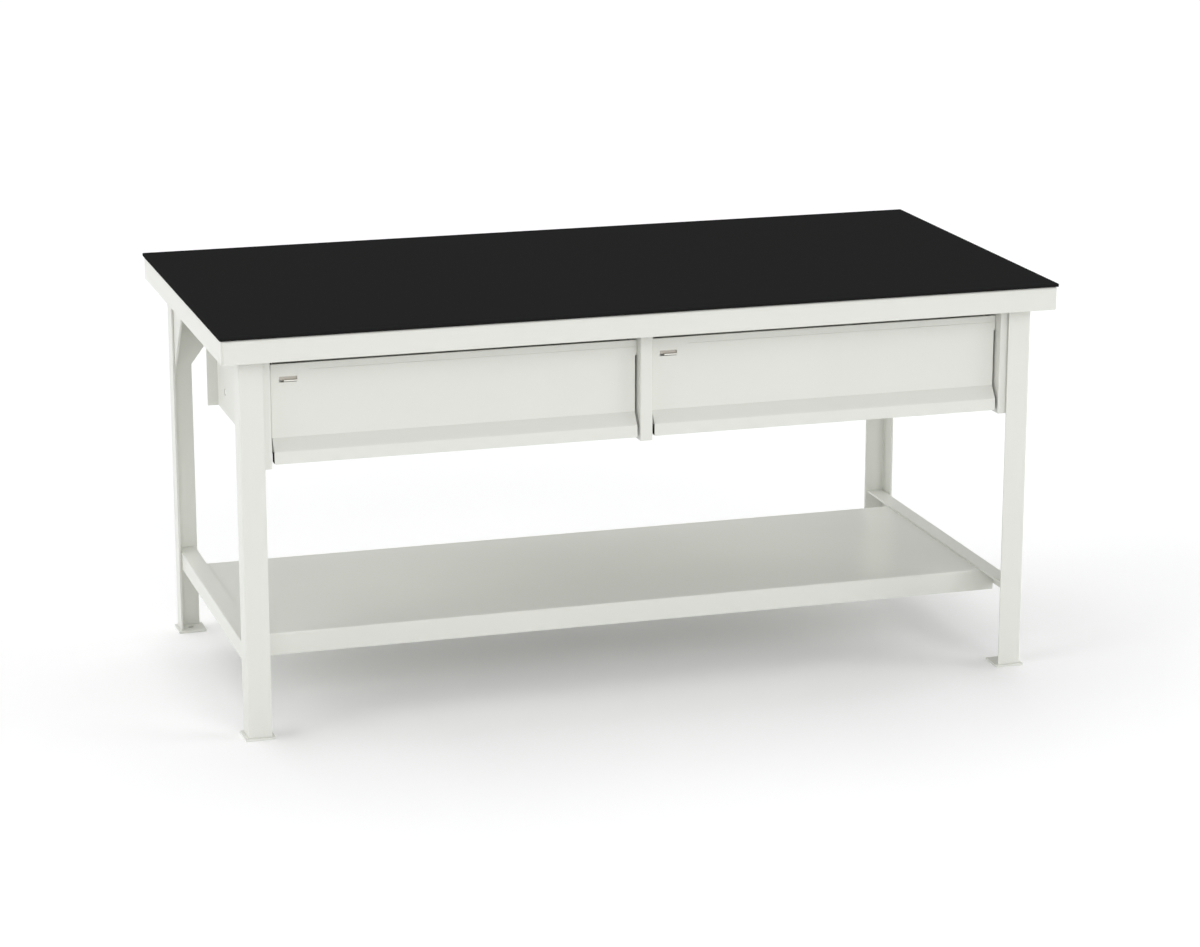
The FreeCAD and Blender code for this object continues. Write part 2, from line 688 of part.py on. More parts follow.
# Latch: a flat bolt with a lipped thumb piece in the front's slot. A strap behind the front guides it,
# and pushed to the left it enters the keeper slot of the channel beside the drawer.
def latch(drawer, middle):
    slot_right = f"{middle} + slot_left + slot_width"
    bar = block(f"{drawer}_latch_bar", (f"{middle} - front_half + latch_play", f"{slot_right} + latch_tail"),
                ("latch_front", "latch_back"), ("latch_top - latch_height", "latch_top"))
    thumb_right = f"{slot_right} - latch_play"
    thumb_middle = "slot_top - slot_height / 2"
    thumb_low = f"{thumb_middle} - thumb_height / 2"
    thumb_x = (f"{thumb_right} - thumb_width", thumb_right)
    thumb = block(f"{drawer}_latch_thumb", thumb_x, ("latch_front", "latch_back"),
                  (thumb_low, f"{thumb_middle} + thumb_height / 2"))
    lip = block(f"{drawer}_latch_lip", thumb_x, ("panel_face - thumb_stand", "latch_back"),
                (thumb_low, f"{thumb_low} + thumb_lip"))
    node(f"{drawer}_latch_bolt", join(f"{drawer}_latch_slide", [bar, thumb, lip]))
    low = f"{thumb_low} - latch_play"
    high = "latch_top + latch_play"
    x = (f"{middle} + slot_left - latch_tail / 2", f"{slot_right} + latch_tail / 2")
    plate = block(f"{drawer}_strap_plate", x, ("strap_front", "strap_front + strap_sheet"),
                  (f"{low} - strap_foot", f"{high} + strap_foot"))
    y = ("panel_back", "strap_front")
    feet = [block(f"{drawer}_strap_foot_low", x, y, (f"{low} - strap_foot", low)),
            block(f"{drawer}_strap_foot_high", x, y, (high, f"{high} + strap_foot"))]
    node(f"{drawer}_latch_strap", join(f"{drawer}_strap", [plate] + feet))


# Ball slide: a channel on the hanger, a smaller one on the pan, and between them a cage with two
# rows of balls. Depths are measured from the hanger's face towards the drawer.
def slide(name, face, inward):
    def depth(first, second):
        pair = (f"{face} + {inward} * ({first})", f"{face} + {inward} * ({second})")
        return pair if inward > 0 else pair[::-1]

    def height(first, second):
        return (f"slide_middle + {first}", f"slide_middle + {second}")

    def channel(part, web, flanges, half, wall, run):
        foot_height = height(f"-1 * ({half})", f"{wall} - ({half})")
        pieces = [block(f"{name}_{part}_web", depth(*web), run, height(f"-1 * ({half})", half)),
                  block(f"{name}_{part}_lower", depth(*flanges), run, foot_height),
                  block(f"{name}_{part}_upper", depth(*flanges), run, height(f"{half} - {wall}", half))]
        return join(f"{name}_{part}_channel", pieces)

    run = ("slide_front", "slide_front + slide_length")
    fixed = channel("fixed", (0, "slide_sheet"), (0, "slide_flange"), "slide_height / 2", "slide_sheet", run)
    web_face = f"{face} + {inward} * slide_sheet"
    node(f"{name}_cabinet_member", carve(f"{name}_fixed_drilled", fixed,
                                         rivet_holes(f"{name}_fixed_hole", web_face, -inward, "slide_sheet")))
    moving = channel("moving", ("slide_thickness - slide_sheet", "slide_thickness"),
                     ("slide_thickness - member_flange", "slide_thickness"), "member_half",
                     "slide_sheet", run)
    pan_face = f"{face} + {inward} * slide_thickness"
    node(f"{name}_drawer_member", carve(f"{name}_moving_drilled", moving,
                                        rivet_holes(f"{name}_moving_hole", pan_face, -inward, "slide_sheet")))
    cage_run = ("cage_front", "cage_front + cage_length")
    cage = channel("cage", ("cage_base", "cage_base + cage_sheet"), ("cage_base", "slide_flange"),
                   "cage_middle + cage_sheet / 2", "cage_sheet", cage_run)
    pockets = []
    balls = []
    for row, up in (("lower", -1), ("upper", 1)):
        for number, share in enumerate(BALL_SHARES, start=1):
            x = f"{face} + {inward} * ball_place"
            y = f"cage_front + {share} * cage_length"
            z = f"slide_middle + {up} * cage_middle"
            pockets.append(rod(f"{name}_pocket_{row}_{number}", "z", "ball_diameter / 2 + hole_play",
                               "2 * cage_sheet", x, y, f"{z} - cage_sheet"))
            ball = doc.addObject("Part::Sphere", f"{name}_ball_{row}_{number}")
            bind(ball, Radius="ball_diameter / 2")
            place(ball, x, y, z)
            balls.append(ball)
    node(f"{name}_ball_cage", carve(f"{name}_cage_drilled", cage, pockets))
    node(f"{name}_balls", group(f"{name}_ball_set", balls))


# Rivets: a flat head on each side of the two walls that it holds, centred on a slide's height.
def rivet(name, start, grip, outward, where):
    """Heads outside the two faces of a grip that runs along X from a start."""
    def bar(part, radius, first, second):
        low = f"{start} + {outward} * ({first})" if outward > 0 else f"{start} + {outward} * ({second})"
        return rod(f"{name}_{part}", "x", radius, f"({second}) - ({first})", low, where, "slide_middle")

    return join(name, [bar("shank", "rivet_shank / 2", 0, grip),
                       bar("head", "rivet_head / 2", "-1 * rivet_head_height", 0),
                       bar("tail", "rivet_head / 2", grip, f"{grip} + rivet_head_height")])


def slide_rivets(name, face, outward, grip):
    return [rivet(f"{name}_{number}", face, grip, outward, where)
            for number, where in enumerate(slide_rivet_places(), start=1)]


worktop()
worktop_mat()
top_ribs()
for end, along in ENDS:
    for side, across in SIDES:
        leg(f"leg_{end}_{side}", across, along)
        foot(f"foot_{end}_{side}", across, along)
for side, across in SIDES:
    rear_gussets(side, across)
    side_rail(side, across)
    drawer_hanger(side, across)
lower_shelf()
shelf_rib()
drawer_divider()
studs_and_nuts()

hanger_rivets = []
for drawer, across in SIDES:
    middle = f"{across} * bay_middle"
    drawer_front(f"{drawer}_drawer_front", middle)
    drawer_pan(f"{drawer}_drawer_pan", middle)
    latch(drawer, middle)
    pan_rivets = []
    for side, hand in SIDES:
        name = f"{drawer}_drawer_{side}_slide"
        face = f"{middle} + {hand} * bay_width / 2"
        slide(name, face, -hand)
        hanger_rivets += slide_rivets(f"{name}_hanger_rivet", f"{face} - {hand} * slide_sheet", hand,
                                      "slide_sheet + hanger_sheet")
        pan_rivets += slide_rivets(f"{name}_pan_rivet", f"{face} - {hand} * (slide_thickness - slide_sheet)",
                                   -hand, "slide_sheet + pan_sheet")
    node(f"{drawer}_drawer_rivets", group(f"{drawer}_rivet_set", pan_rivets))
node("hanger_rivets", group("hanger_rivet_set", hanger_rivets))

doc.recompute()
for thing in doc.Objects:
    if "Invalid" in thing.State or "Error" in thing.State:
        raise RuntimeError(f"{thing.Name} failed: {thing.State}")
for name, thing in NODES.items():
    if thing.Shape.isNull() or not thing.Shape.isValid():
        raise RuntimeError(f"{name} has no sound shape")

os.makedirs("parts", exist_ok=True)
for name, thing in NODES.items():
    thing.Shape.exportStep(os.path.join("parts", name + ".step"))
print(len(NODES), "nodes")
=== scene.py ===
import bpy
import math
from mathutils import Matrix, Vector


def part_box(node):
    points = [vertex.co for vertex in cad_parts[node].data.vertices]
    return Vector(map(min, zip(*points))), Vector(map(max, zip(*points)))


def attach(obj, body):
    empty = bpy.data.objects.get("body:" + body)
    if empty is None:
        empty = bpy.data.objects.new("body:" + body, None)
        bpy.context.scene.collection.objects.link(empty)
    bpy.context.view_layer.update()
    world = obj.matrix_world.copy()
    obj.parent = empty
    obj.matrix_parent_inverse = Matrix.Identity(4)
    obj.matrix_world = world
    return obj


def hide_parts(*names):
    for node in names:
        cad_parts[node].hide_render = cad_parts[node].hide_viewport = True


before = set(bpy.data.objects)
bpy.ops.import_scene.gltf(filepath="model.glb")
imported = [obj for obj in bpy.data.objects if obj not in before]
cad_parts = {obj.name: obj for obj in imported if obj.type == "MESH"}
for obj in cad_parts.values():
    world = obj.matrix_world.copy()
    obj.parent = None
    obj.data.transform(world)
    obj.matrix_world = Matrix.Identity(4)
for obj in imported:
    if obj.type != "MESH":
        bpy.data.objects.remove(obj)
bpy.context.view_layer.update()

# Studio: a white paper floor that runs out of the picture, under a faint dome and wide banks of lamps:
# overhead a little to the rear, in front, and at both sides. The floor keeps the table's soft shadow.
FLOOR_SPAN = 80.0
FLOOR_SHIFT = 12.0
PAPER_GLOW = 0.05
DOME_STRENGTH = 0.20
scene = bpy.context.scene
scene.view_settings.view_transform = "Standard"


def linear(colour):
    """Turn an sRGB hex colour into the linear values that shaders take."""
    values = [int(colour[place:place + 2], 16) / 255 for place in (1, 3, 5)]
    return [v / 12.92 if v <= 0.04045 else ((v + 0.055) / 1.055) ** 2.4 for v in values] + [1.0]


def add_node(tree, kind, inputs=None, **settings):
    """Add a node with its settings; an input given a socket is linked, any other value is set."""
    made = tree.nodes.new(kind)
    for name, setting in settings.items():
        setattr(made, name, setting)
    for name, given in (inputs or {}).items():
        if isinstance(given, bpy.types.NodeSocket):
            tree.links.new(given, made.inputs[name])
        else:
            made.inputs[name].default_value = given
    return made


def new_material(name):
    """An empty material, its tree and its output node."""
    made = bpy.data.materials.new(name)
    made.use_nodes = True
    made.node_tree.nodes.clear()
    return made, made.node_tree, add_node(made.node_tree, "ShaderNodeOutputMaterial")


def deselect():
    """Put every object out of the next operator's reach."""
    bpy.ops.object.select_all(action="DESELECT")


deselect()
bpy.ops.mesh.primitive_plane_add(size=FLOOR_SPAN, location=(0, FLOOR_SHIFT, 0))
bpy.ops.object.transform_apply(location=True)
floor = bpy.context.object
floor.name = "studio_floor"
# Seamless paper: matte and white. To the camera, and in gloss, it is plain white with a faint glow that
# thins the shadow; as a source of bounced light it gives back a little less.
studio_paper, tree, output = new_material("seamless_paper")
path = add_node(tree, "ShaderNodeLightPath")
seen = add_node(tree, "ShaderNodeMath", {0: path.outputs["Is Camera Ray"],
                                         1: path.outputs["Is Glossy Ray"]}, operation="MAXIMUM")
seen = add_node(tree, "ShaderNodeMath", {0: seen.outputs[0], 1: path.outputs["Is Transmission Ray"]},
                operation="MAXIMUM")
paper = add_node(tree, "ShaderNodeMix", {"Factor": seen.outputs[0], "A": linear("#F2F2F0"),
                                         "B": linear("#FFFFFF")}, data_type="RGBA")
diffuse = add_node(tree, "ShaderNodeBsdfDiffuse", {"Color": paper.outputs["Result"]})
glow = add_node(tree, "ShaderNodeMath", {0: seen.outputs[0], 1: PAPER_GLOW}, operation="MULTIPLY")
shine = add_node(tree, "ShaderNodeEmission", {"Color": linear("#F0F2FF"), "Strength": glow.outputs[0]})
sheet = add_node(tree, "ShaderNodeAddShader", {0: diffuse.outputs[0], 1: shine.outputs[0]})
tree.links.new(sheet.outputs[0], output.inputs["Surface"])
floor.data.materials.append(studio_paper)

world = bpy.data.worlds.new("studio_dome")
scene.world = world
world.use_nodes = True
dome = world.node_tree.nodes["Background"]
dome.inputs["Color"].default_value = linear("#FFFFFF")
dome.inputs["Strength"].default_value = DOME_STRENGTH


def hang_lamp_bank(name, tilt, turn, strength, spread):
    """Light the whole stage evenly from one direction, as a wide bank of diffused lamps does."""
    bpy.ops.object.light_add(type="SUN", rotation=(math.radians(tilt), 0, math.radians(turn)))
    lamp = bpy.context.object
    lamp.name = name
    lamp.data.energy = strength
    lamp.data.angle = math.radians(spread)


hang_lamp_bank("overhead_bank", tilt=-30, turn=0, strength=1.16, spread=60)
hang_lamp_bank("front_bank", tilt=68, turn=0, strength=0.99, spread=50)
hang_lamp_bank("right_front_bank", tilt=80, turn=62, strength=0.45, spread=30)
hang_lamp_bank("right_bank", tilt=72, turn=88, strength=1.20, spread=60)
hang_lamp_bank("left_bank", tilt=72, turn=-88, strength=1.02, spread=60)
hang_lamp_bank("left_top_bank", tilt=42, turn=-90, strength=0.53, spread=60)

# The camera stands to the left of the front and looks down at the table with a long lens.
CAMERA_PLACE = (-2.1370, -7.0526, 2.37605)
CAMERA_PITCH = math.radians(90 - 14.994)
CAMERA_TURN = math.radians(-17.014)
CAMERA_LENS = 102.46
CAMERA_SENSOR = 36
bpy.ops.object.camera_add(location=CAMERA_PLACE, rotation=(CAMERA_PITCH, 0, CAMERA_TURN))
camera = bpy.context.object
camera.name = "photo_camera"
camera.data.sensor_width = CAMERA_SENSOR
camera.data.lens = CAMERA_LENS
scene.camera = camera

# Foot plates: four squares sheared from 3/16 in steel plate, each punched with one anchor hole and
# welded under its leg. The whole frame is powder-coated after welding, so the holes' walls are too.
MM = 0.001
FOOT_CORNER = 1.5 * MM
FOOT_HOLE = 14.3 * MM
PLATE_ARRIS = 0.5 * MM
SHEET_ARRIS = 0.25 * MM
SHARP_ANGLE = math.radians(50)
TINY = 0.02 * MM

# Powder coat: polyester powder baked on the degreased steel, an off-white satin. The eye sees a soft
# sheen with a faint orange peel; the peel is drawn 3 mm wide, coarser than the real one, so it shows.
powder_coat, tree, output = new_material("powder_coat")
place = add_node(tree, "ShaderNodeTexCoord").outputs["Object"]
clouds = add_node(tree, "ShaderNodeTexNoise", {"Vector": place, "Scale": 1 / (160 * MM), "Detail": 3.0})
shade = add_node(tree, "ShaderNodeMix", {"Factor": clouds.outputs["Fac"], "A": linear("#E4E5DF"),
                                         "B": linear("#E7E8E2")}, data_type="RGBA")
peel = add_node(tree, "ShaderNodeTexNoise", {"Vector": place, "Scale": 1 / (3 * MM), "Detail": 1.0})
dull = add_node(tree, "ShaderNodeMapRange", {"Value": peel.outputs["Fac"], "To Min": 0.26, "To Max": 0.34})
bumps = add_node(tree, "ShaderNodeBump", {"Height": peel.outputs["Fac"], "Strength": 0.05,
                                          "Distance": 0.1 * MM})
coat = add_node(tree, "ShaderNodeBsdfPrincipled", {"Base Color": shade.outputs["Result"],
                                                   "Roughness": dull.outputs["Result"],
                                                   "Normal": bumps.outputs["Normal"], "IOR": 1.5})
tree.links.new(coat.outputs[0], output.inputs["Surface"])


def take(piece):
    """Make a piece the only one selected."""
    deselect()
    piece.select_set(True)
    bpy.context.view_layer.objects.active = piece


def add_block(low, high):
    """Add a cube between two corners and leave its place in its mesh."""
    deselect()
    low, high = Vector(low), Vector(high)
    bpy.ops.mesh.primitive_cube_add(size=1, location=(low + high) / 2, scale=high - low)
    bpy.ops.object.transform_apply(location=True, rotation=True, scale=True)
    return bpy.context.object


def add_pin(centre, radius, length, axis, sides=32):
    """Add a round bar about a centre, along one axis."""
    deselect()
    turn = {"x": (0, math.radians(90), 0), "y": (math.radians(90), 0, 0), "z": (0, 0, 0)}[axis]
    bpy.ops.mesh.primitive_cylinder_add(vertices=sides, radius=radius, depth=length, location=centre,
                                        rotation=turn)
    bpy.ops.object.transform_apply(location=True, rotation=True, scale=True)
    return bpy.context.object


def pick(piece, kind, test):
    """Go into edit mode with only those vertices, edges or faces selected whose corners pass a test."""
    take(piece)
    bpy.ops.object.mode_set(mode="EDIT")
    bpy.ops.mesh.select_mode(type=kind)
    bpy.ops.mesh.select_all(action="DESELECT")
    bpy.ops.object.mode_set(mode="OBJECT")
    mesh = piece.data
    for item in {"VERT": mesh.vertices, "EDGE": mesh.edges, "FACE": mesh.polygons}[kind]:
        corners = [item.co] if kind == "VERT" else [mesh.vertices[corner].co for corner in item.vertices]
        item.select = test(corners)
    bpy.ops.object.mode_set(mode="EDIT")


def put_down():
    """Leave edit mode."""
    bpy.ops.object.mode_set(mode="OBJECT")


def at(**places):
    """A test that every corner lies at the given coordinates."""
    return lambda corners: all(abs(getattr(corner, axis) - there) < TINY
                               for corner in corners for axis, there in places.items())


def along(axis):
    """A test for edges that run along one axis."""
    others = [other for other in "xyz" if other != axis]
    return lambda ends: all(abs(getattr(ends[0], other) - getattr(ends[1], other)) < TINY
                            for other in others)


def round_edges(piece, test, radius, segments):
    """Bevel the edges that pass a test to a round of that radius."""
    pick(piece, "EDGE", test)
    bpy.ops.mesh.bevel(offset=radius, segments=segments, affect="EDGES", offset_type="OFFSET")
    put_down()


def apply_modifier(piece, kind, **settings):
    """Give a piece a modifier and apply it."""
    take(piece)
    made = piece.modifiers.new(kind.lower(), kind)
    for name, setting in settings.items():
        setattr(made, name, setting)
    bpy.ops.object.modifier_apply(modifier=made.name)


def punch(piece, tool):
    """Take a tool's shape out of a piece and put the tool away."""
    apply_modifier(piece, "BOOLEAN", operation="DIFFERENCE", solver="EXACT", object=tool)
    bpy.data.objects.remove(tool)


def face_outwards(piece):
    """Turn all faces of a closed or open shape to one side, outwards where it is closed."""
    pick(piece, "FACE", lambda corners: True)
    bpy.ops.mesh.normals_make_consistent(inside=False)
    put_down()


def copy_of(piece, mirror=(1, 1, 1), move=(0, 0, 0)):
    """Copy a piece, mirrored about the origin and then moved, with a mesh of its own."""
    take(piece)
    bpy.ops.object.duplicate()
    twin = bpy.context.object
    twin.scale = mirror
    twin.location = move
    bpy.ops.object.transform_apply(location=True, rotation=True, scale=True)
    if mirror[0] * mirror[1] * mirror[2] < 0:
        face_outwards(twin)
    return twin


def fit(piece, name, body, finish, nodes, arris=SHEET_ARRIS):
    """Ease a piece's edges, name it, finish it if it is still bare, and set it on its body in place of
    its CAD nodes."""
    piece.name = name
    piece.data.name = name
    take(piece)
    if arris:
        apply_modifier(piece, "BEVEL", width=arris, segments=2, limit_method="ANGLE",
                       angle_limit=SHARP_ANGLE)
    bpy.ops.object.shade_smooth_by_angle(angle=SHARP_ANGLE)
    apply_modifier(piece, "WEIGHTED_NORMAL", keep_sharp=True)
    if not piece.data.materials:
        piece.data.materials.append(finish)
    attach(piece, body)
    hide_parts(*nodes)


def fit_on_frame(piece, name, node, arris=SHEET_ARRIS):
    """Fit a painted piece of the welded frame in place of one CAD node."""
    fit(piece, name, "table_frame", powder_coat, [node], arris)


CORNERS = [(end, side, (across, back, 1)) for end, back in (("front", 1), ("rear", -1))
           for side, across in (("left", 1), ("right", -1))]
low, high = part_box("foot_front_left")
foot = add_block(low, high)
round_edges(foot, along("z"), FOOT_CORNER, 3)
punch(foot, add_pin((low + high) / 2, FOOT_HOLE / 2, 4 * (high.z - low.z), "z"))
feet = [foot] + [copy_of(foot, mirror) for end, side, mirror in CORNERS[1:]]
for piece, (end, side, mirror) in zip(feet, CORNERS):
    fit_on_frame(piece, f"foot_plate_{end}_{side}", f"foot_{end}_{side}", PLATE_ARRIS)

# Legs: lengths of 2 in hot-rolled steel angle, 3/16 in thick, welded to the plates below and to the
# sheet of the top. Rolling leaves a round outer corner, a filled root and soft toes.
LEG_WALL = 4.76 * MM
LEG_CORNER = 4.0 * MM
LEG_ROOT = 4.0 * MM
LEG_TOE = 2.2 * MM
LEAST_FOLD = math.radians(2)


def fold_sheet(axis, start, end, path, radius):
    """Fold a sheet with no thickness along the middle line of its section: a plane is the first
    flange, its far edge is drawn out to each next point, and the bends are rounded."""
    def spot(point, run):
        return Vector({"x": (run, *point), "y": (point[0], run, point[1]), "z": (*point, run)}[axis])

    def on_line(point):
        spots = (spot(point, start), spot(point, end))
        return lambda ends: all(min((corner - there).length for there in spots) < TINY for corner in ends)

    deselect()
    width = spot(path[1], start) - spot(path[0], start)
    length = spot(path[0], end) - spot(path[0], start)
    sides = Matrix((width.normalized(), length.normalized(), width.cross(length).normalized()))
    bpy.ops.mesh.primitive_plane_add(size=1, location=spot(path[0], start) + (width + length) / 2,
                                     rotation=sides.transposed().to_euler())
    piece = bpy.context.object
    piece.scale = (width.length, length.length, 1)
    bpy.ops.object.transform_apply(location=True, rotation=True, scale=True)
    for before, after in zip(path[1:], path[2:]):
        pick(piece, "EDGE", on_line(before))
        step = spot(after, 0) - spot(before, 0)
        bpy.ops.mesh.extrude_region_move(TRANSFORM_OT_translate={"value": step})
        put_down()
    for before, fold, after in zip(path, path[1:], path[2:]):
        turn = (Vector(fold) - Vector(before)).angle(Vector(after) - Vector(fold))
        if radius and turn > LEAST_FOLD:
            round_edges(piece, on_line(fold), radius * math.tan(turn / 2), 4)
    face_outwards(piece)
    return piece


def thicken(piece, sheet):
    """Give a folded sheet its thickness, half to each side."""
    apply_modifier(piece, "SOLIDIFY", thickness=sheet, offset=0, use_even_offset=True)


low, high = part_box("leg_front_left")
middle_x, middle_y = low.x + LEG_WALL / 2, low.y + LEG_WALL / 2
leg = fold_sheet("z", low.z, high.z, [(high.x, middle_y), (middle_x, middle_y), (middle_x, high.y)], 0)
thicken(leg, LEG_WALL)
round_edges(leg, at(x=low.x, y=low.y), LEG_CORNER, 5)
round_edges(leg, at(x=low.x + LEG_WALL, y=low.y + LEG_WALL), LEG_ROOT, 4)
round_edges(leg, at(x=high.x, y=low.y + LEG_WALL), LEG_TOE, 3)
round_edges(leg, at(x=low.x + LEG_WALL, y=high.y), LEG_TOE, 3)
legs = [leg] + [copy_of(leg, mirror) for end, side, mirror in CORNERS[1:]]
for piece, (end, side, mirror) in zip(legs, CORNERS):
    fit_on_frame(piece, f"angle_leg_{end}_{side}", f"leg_{end}_{side}")

# Gussets: triangular plates with a square toe, sheared from 3/16 in plate. Two are welded into each
# rear leg under the top, one on its side flange and one on its back flange.
GUSSET_TOE = 25.4 * MM
LEFT_TO_RIGHT = (-1, 1, 1)
low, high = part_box("rear_side_gusset_left")
side_gusset = add_block(low, high)
pick(side_gusset, "VERT", at(y=low.y, z=low.z))
bpy.ops.transform.translate(value=(0, high.y - low.y - GUSSET_TOE, 0))
put_down()
for side, piece in (("left", side_gusset), ("right", copy_of(side_gusset, LEFT_TO_RIGHT))):
    fit_on_frame(piece, f"side_gusset_{side}", f"rear_side_gusset_{side}", PLATE_ARRIS)

low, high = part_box("rear_back_gusset_left")
back_gusset = add_block(low, high)
pick(back_gusset, "VERT", at(x=high.x, z=low.z))
bpy.ops.transform.translate(value=(low.x + GUSSET_TOE - high.x, 0, 0))
put_down()
for side, piece in (("left", back_gusset), ("right", copy_of(back_gusset, LEFT_TO_RIGHT))):
    fit_on_frame(piece, f"back_gusset_{side}", f"rear_back_gusset_{side}", PLATE_ARRIS)

# Side rails: 1 1/2 in angles welded between the legs, with their upright flange outside. Each end is
# coped, so that only the top flange runs in between the legs' flanges.
RAIL_WALL = 4.76 * MM
RAIL_CORNER = 3.0 * MM
RAIL_COPE = 51.1 * MM
OVERCUT = 5.0 * MM
low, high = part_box("side_rail_left")
middle_x, middle_z = low.x + RAIL_WALL / 2, high.z - RAIL_WALL / 2
rail = fold_sheet("y", low.y, high.y, [(middle_x, low.z), (middle_x, middle_z), (high.x, middle_z)], 0)
thicken(rail, RAIL_WALL)
round_edges(rail, at(x=low.x, z=high.z), RAIL_CORNER, 4)
round_edges(rail, at(x=low.x + RAIL_WALL, z=high.z - RAIL_WALL), RAIL_CORNER, 4)
for first, last in ((low.y - OVERCUT, low.y + RAIL_COPE), (high.y - RAIL_COPE, high.y + OVERCUT)):
    punch(rail, add_block((low.x - OVERCUT, first, low.z - OVERCUT),
                          (high.x + OVERCUT, last, high.z - RAIL_WALL)))
for side, piece in (("left", rail), ("right", copy_of(rail, LEFT_TO_RIGHT))):
    fit_on_frame(piece, f"angle_rail_{side}", f"side_rail_{side}")

# Lower shelf: one 12 gauge steel sheet with its long edges turned down, welded up under the rails'
# top flanges. A hat-section rib is spot-welded along its underside.
SHELF_SHEET = 2.66 * MM
SHELF_BEND = 4.0 * MM
SHELF_RIB_SHEET = 1.9 * MM
RIB_FLANGE = 20.0 * MM
RIB_BEND = 3.0 * MM
low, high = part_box("lower_shelf")
half = SHELF_SHEET / 2
shelf = fold_sheet("x", low.x, high.x, [(low.y + half, low.z), (low.y + half, high.z - half),
                                        (high.y - half, high.z - half), (high.y - half, low.z)],
                   SHELF_BEND - half)
thicken(shelf, SHELF_SHEET)
fit_on_frame(shelf, "shelf_sheet", "lower_shelf")


def fold_hat(axis, first, last, start, end, foot, seat, sheet):
    """Fold a hat-section rib that hangs from its two flanges, from first to last across it."""
    upper, lower = seat - sheet / 2, foot + sheet / 2
    left, right = first + RIB_FLANGE + sheet / 2, last - RIB_FLANGE - sheet / 2
    rib = fold_sheet(axis, start, end, [(first, upper), (left, upper), (left, lower), (right, lower),
                                        (right, upper), (last, upper)], RIB_BEND)
    thicken(rib, sheet)
    return rib


low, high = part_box("shelf_rib")
shelf_rib = fold_hat("x", low.y, high.y, low.x, high.x, low.z, high.z, SHELF_RIB_SHEET)
fit_on_frame(shelf_rib, "shelf_hat_rib", "shelf_rib")

# Top: one 3/16 in steel sheet with all four edges turned down and the corners left as narrow seams,
# welded from inside. Four hat-section ribs are welded across its underside.
TOP_SHEET = 4.76 * MM
TOP_BEND = 6.0 * MM
TOP_SEAM = 3.6 * MM
TOP_RIB_SHEET = 2.66 * MM
low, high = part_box("worktop")
top = add_block(low, high)
pick(top, "FACE", at(z=low.z))
bpy.ops.mesh.delete(type="FACE")
put_down()
round_edges(top, at(z=high.z), TOP_BEND, 6)
apply_modifier(top, "SOLIDIFY", thickness=TOP_SHEET, offset=-1, use_even_offset=True)
for x in ((low.x - OVERCUT, low.x + TOP_SEAM), (high.x - TOP_SEAM, high.x + OVERCUT)):
    for y in ((low.y - OVERCUT, low.y + TOP_SEAM), (high.y - TOP_SEAM, high.y + OVERCUT)):
        punch(top, add_block((x[0], y[0], low.z - OVERCUT), (x[1], y[1], high.z - TOP_BEND)))
fit_on_frame(top, "top_sheet", "worktop")

low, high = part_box("top_rib_1")
rib = fold_hat("y", low.x, high.x, low.y, high.y, low.z, high.z, TOP_RIB_SHEET)
ribs = [rib] + [copy_of(rib, move=(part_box(f"top_rib_{number}")[0].x - low.x, 0, 0))
                for number in (2, 3, 4)]
for number, piece in enumerate(ribs, start=1):
    fit_on_frame(piece, f"top_hat_rib_{number}", f"top_rib_{number}")

# Mat: a sheet of black rubber cut a little larger than the steel and glued to it, with its corners
# trimmed round and its upper edge eased.
MAT_CORNER = 3.0 * MM
MAT_EDGE = 1.0 * MM

# Calendered rubber: matte and nearly black, with a fine even grain that scatters all gloss. The grain is
# drawn 1.6 mm wide, coarser than the real one, so it shows.
rubber, tree, output = new_material("calendered_rubber")
place = add_node(tree, "ShaderNodeTexCoord").outputs["Object"]
grain = add_node(tree, "ShaderNodeTexNoise", {"Vector": place, "Scale": 1 / (1.6 * MM), "Detail": 2.0})
shade = add_node(tree, "ShaderNodeMix", {"Factor": grain.outputs["Fac"], "A": linear("#1D1D1D"),
                                         "B": linear("#232323")}, data_type="RGBA")
bumps = add_node(tree, "ShaderNodeBump", {"Height": grain.outputs["Fac"], "Strength": 0.1,
                                          "Distance": 0.1 * MM})
skin = add_node(tree, "ShaderNodeBsdfPrincipled", {"Base Color": shade.outputs["Result"], "Roughness": 0.9,
                                                   "Specular IOR Level": 0.02,
                                                   "Normal": bumps.outputs["Normal"]})
tree.links.new(skin.outputs[0], output.inputs["Surface"])
low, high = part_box("worktop_mat")
mat = add_block(low, high)
round_edges(mat, along("z"), MAT_CORNER, 4)
round_edges(mat, at(z=high.z), MAT_EDGE, 2)
fit(mat, "rubber_mat", "table_frame", rubber, ["worktop_mat"])

# Hangers: 14 gauge sheet with the web towards the drawers and the front, rear and top edges folded
# outwards. Between them hangs a channel, open at the rear. All are painted, and held by studs and nuts.
HANGER_SHEET = 1.9 * MM
HANGER_BEND = 3.0 * MM
DIVIDER_WIDTH = 27.4 * MM
DIVIDER_FLANGE = 22.0 * MM
HANGER_HOLE = 16.0 * MM
HANGER_HOLE_REACH = 493.0 * MM
HANGER_HOLE_DROP = 232.8 * MM
KEEPER_PLAY = 1.0 * MM
LATCH_SHEET = 3.0 * MM
LATCH_HEIGHT = 11.0 * MM
latch_low, latch_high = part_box("left_latch_bolt")


def punch_keeper(piece, face):
    """Punch the slot that a latch bolt enters, through a web that ends at a face."""
    back, upper = latch_high.y + KEEPER_PLAY, latch_high.z + KEEPER_PLAY
    front, lower = back - LATCH_SHEET - 2 * KEEPER_PLAY, upper - LATCH_HEIGHT - 2 * KEEPER_PLAY
    punch(piece, add_block((face - HANGER_SHEET - OVERCUT, front, lower), (face + OVERCUT, back, upper)))


